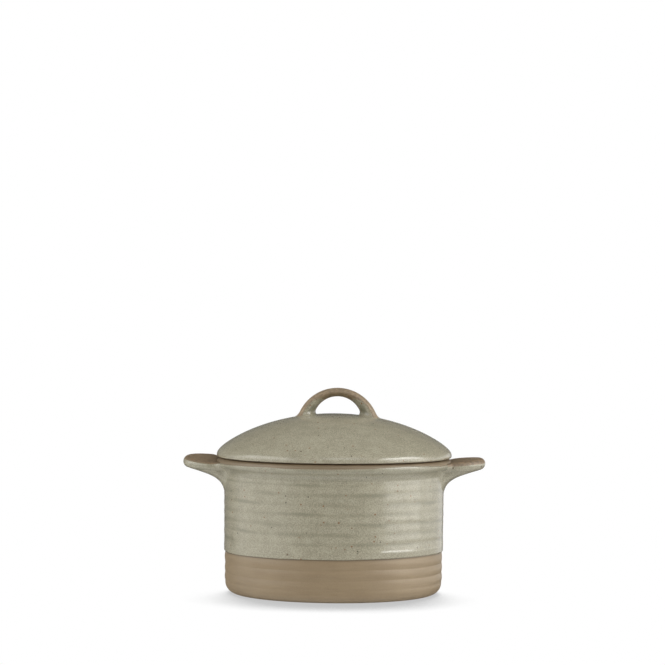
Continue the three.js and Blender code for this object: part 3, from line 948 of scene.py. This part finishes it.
lean = addNode(tree, "ShaderNodeCombineXYZ", dict(zip("XYZ", stage["shadeLean"]))).outputs[0]
closeBy = addNode(tree, "ShaderNodeAmbientOcclusion", {
    "Distance": stage["shadeReach"], "Normal": lean}, samples=16)
matt = addNode(tree, "ShaderNodeBsdfDiffuse", {"Color": stage["floorColour"]})
glow = addNode(tree, "ShaderNodeEmission", {"Strength": stage["bounce"]})
pale = addNode(tree, "ShaderNodeAddShader", {0: matt.outputs[0], 1: glow.outputs[0]})
shade = ramp(tree, closeBy.outputs["AO"], stage["shadeFrom"], stage["shadeTo"], stage["shadeDark"], 1.0)
white = addNode(tree, "ShaderNodeEmission", {"Strength": shade})
both = addNode(tree, "ShaderNodeMixShader", {0: seen, 1: pale.outputs[0], 2: white.outputs[0]})
tree.links.new(both.outputs[0], tree.nodes["Material Output"].inputs["Surface"])
floor.data.materials.append(floorMaterial)
floor.visible_glossy = False  # the glaze mirrors the softboxes right down to the floor's level

# World: white to the camera; reflections see it white at the sides, and dim overhead, behind and ahead;
# as light it is plain and a little stronger from above
world = bpy.data.worlds.new("studio")
bpy.context.scene.world = world
world.use_nodes = True
tree = world.node_tree
rays = addNode(tree, "ShaderNodeLightPath")
direction = addNode(tree, "ShaderNodeTexCoord").outputs["Generated"]
towards = addNode(tree, "ShaderNodeSeparateXYZ", {"Vector": direction})
overhead = ramp(tree, towards.outputs["Z"], *stage["ceilingRise"], 1.0, stage["ceilingGloss"])
behind = ramp(tree, towards.outputs["Y"], *stage["behindDepth"], 1.0, stage["behindGloss"])
ahead = ramp(tree, towards.outputs["Y"], *stage["aheadDepth"], stage["aheadGloss"], 1.0)
gloss = math(tree, "MULTIPLY", overhead, math(tree, "MULTIPLY", behind, ahead))
ambient = ramp(tree, towards.outputs["Z"], *stage["ambientRise"], stage["ambientLow"], stage["ambientHigh"])
white = math(tree, "ADD", rays.outputs["Is Camera Ray"], rays.outputs["Is Transmission Ray"], clamp=True)
mirrored = {"Factor": rays.outputs["Is Glossy Ray"], "A": ambient, "B": gloss}
level = addNode(tree, "ShaderNodeMix", mirrored).outputs["Result"]
level = addNode(tree, "ShaderNodeMix", {"Factor": white, "A": level, "B": 1.0}).outputs["Result"]
background = tree.nodes["Background"]
background.inputs["Color"].default_value = (1, 1, 1, 1)
tree.links.new(level, background.inputs["Strength"])

# Softboxes: azimuth is degrees from the camera's side towards the right, and each is aimed at the pot's axis,
# at its own height where no aim is given; a card is only mirrored, and a bounced light is never mirrored
lights = dict(
    rightLow=dict(azimuth=78.5, distance=1.2, height=0.0825, size=(1.04, 0.445), power=2.85, kind="card"),
    rightHigh=dict(azimuth=78.5, distance=1.2, height=0.612, size=(1.04, 0.615), power=9.0, kind="bounced"),
    rightCard=dict(azimuth=76.0, distance=1.15, height=0.8, size=(1.0, 0.72), power=14.2, kind="card"),
    rightBack=dict(azimuth=133.0, distance=1.2, height=0.075, size=(1.2, 0.43), power=1.3, kind="card"),
    left=dict(azimuth=-85.5, distance=1.3, height=0.512, size=(1.855, 1.476), power=13.1, kind="bounced"),
    leftCard=dict(azimuth=-72.0, distance=1.25, height=0.8, size=(1.6, 0.9), power=10.0, kind="card"),
    front=dict(azimuth=10.0, distance=1.4, height=1.5, aim=0.05, size=(1.2, 0.7), power=7.0, kind="lamp"),
    topBack=dict(
        azimuth=180.0, distance=1.0, height=1.5, aim=0.08, size=(1.0, 0.6), power=5.0, kind="bounced"),
)
for name, light in lights.items():
    data = bpy.data.lights.new(name + "Softbox", "AREA")
    data.shape = "RECTANGLE"
    data.size, data.size_y = light["size"]
    data.energy = light["power"]
    lamp = bpy.data.objects.new(name + "Softbox", data)
    turn = np.radians(light["azimuth"])
    lamp.location = (light["distance"] * np.sin(turn), -light["distance"] * np.cos(turn), light["height"])
    towards = Vector((0, 0, light.get("aim", light["height"]))) - lamp.location
    lamp.rotation_euler = towards.to_track_quat("-Z", "Y").to_euler()
    lamp.visible_diffuse = light["kind"] != "card"
    lamp.visible_glossy = light["kind"] != "bounced"
    bpy.context.collection.objects.link(lamp)

# Camera: distance, height and angle read from the photograph's ellipses and vanishing height
camera = dict(
    distance=1583.0,
    height=169.0,
    azimuth=1.0,  # towards the right lug
    sideStep=-1.5,
    focalPixels=2900.0,
    imagePixels=665,
    horizonPixel=283.5,
    roll=0.45,
    sensorWidth=36.0,
)
data = bpy.data.cameras.new("camera")
data.sensor_width = camera["sensorWidth"]
data.lens = camera["focalPixels"] / camera["imagePixels"] * data.sensor_width
viewer = bpy.data.objects.new("camera", data)
bpy.context.collection.objects.link(viewer)
bpy.context.scene.camera = viewer
pitch = np.arctan2(camera["imagePixels"] / 2 - camera["horizonPixel"], camera["focalPixels"])
orbit = Matrix.Rotation(np.radians(camera["azimuth"]), 4, "Z")
station = Matrix.Translation((camera["sideStep"] * mm, -camera["distance"] * mm, camera["height"] * mm))
aim = Matrix.Rotation(np.pi / 2 - pitch, 4, "X")
viewer.matrix_world = orbit @ station @ aim @ Matrix.Rotation(np.radians(camera["roll"]), 4, "Z")

bpy.context.scene.view_settings.view_transform = "Standard"
print("stage, lights and camera set")
